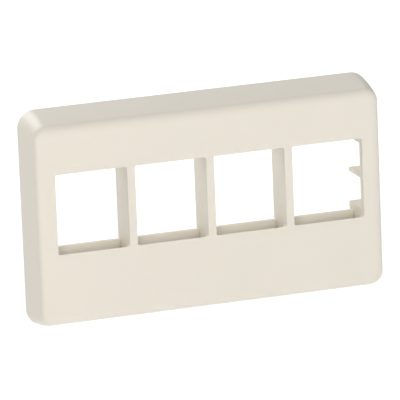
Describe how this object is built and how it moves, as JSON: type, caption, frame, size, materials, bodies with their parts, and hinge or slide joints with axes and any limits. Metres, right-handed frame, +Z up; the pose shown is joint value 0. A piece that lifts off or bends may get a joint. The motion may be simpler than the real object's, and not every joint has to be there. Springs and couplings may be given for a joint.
{
  "type": "keystone faceplate",
  "caption": "Snap-in faceplate for a modular furniture opening, with a row of keystone ports, flared walls and a one-piece moulded jack box behind.",
  "frame": {"origin": "centre of the plane in which the rim seats on the furniture panel, which is the centre of the cut-out", "axes": "+X along the port row, to the right seen from the front; +Y from the front to the back, into the panel; +Z up as mounted; the face looks towards -Y"},
  "size_m": [0.0738, 0.0138, 0.044],
  "materials": {
    "moulded_plastic": "fine matt moulded texture, light almond"
  },
  "bodies": {
    "root": {"faceplate": "moulded_plastic"}
  },
  "joints": []
}
